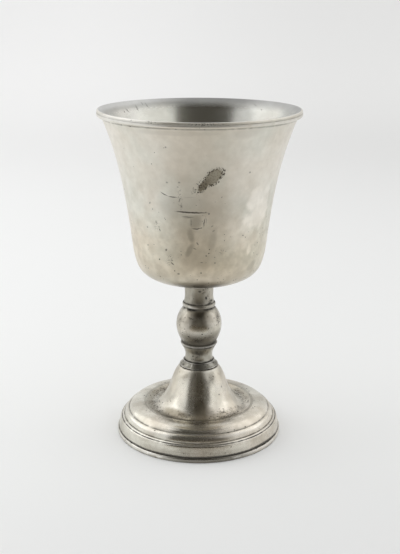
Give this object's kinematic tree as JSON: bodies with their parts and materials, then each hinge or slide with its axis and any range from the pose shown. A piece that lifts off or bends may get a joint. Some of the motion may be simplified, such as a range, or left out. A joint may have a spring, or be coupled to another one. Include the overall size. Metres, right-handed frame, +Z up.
{
  "type": "chalice",
  "caption": "Old cast metal chalice: flared bowl with a moulded lip, hollow stem with a ball knop, and a domed, moulded foot with a bell-shaped rise.",
  "frame": {"origin": "on the table, at the centre of the foot", "axes": "+Z up along the axis of the bowl and stem, -Y towards the viewer of the picture"},
  "size_m": [0.101, 0.101, 0.17],
  "materials": {
    "bowl_pewter": "satin aged pewter, warm grey, with pits, dents and scratches",
    "stem_pewter": "worn aged pewter, darker in the turned grooves",
    "foot_pewter": "satin aged pewter, smoother than the bowl",
    "solder": "dull, pitted old solder"
  },
  "bodies": {
    "root": {"bowl": "bowl_pewter", "neck_solder": "solder", "stem_half_left": "stem_pewter", "stem_half_right": "stem_pewter", "joint_collar": "stem_pewter", "trumpet": "foot_pewter", "flange_solder": "solder", "foot_dish": "foot_pewter", "base_ring": "foot_pewter"}
  },
  "joints": []
}
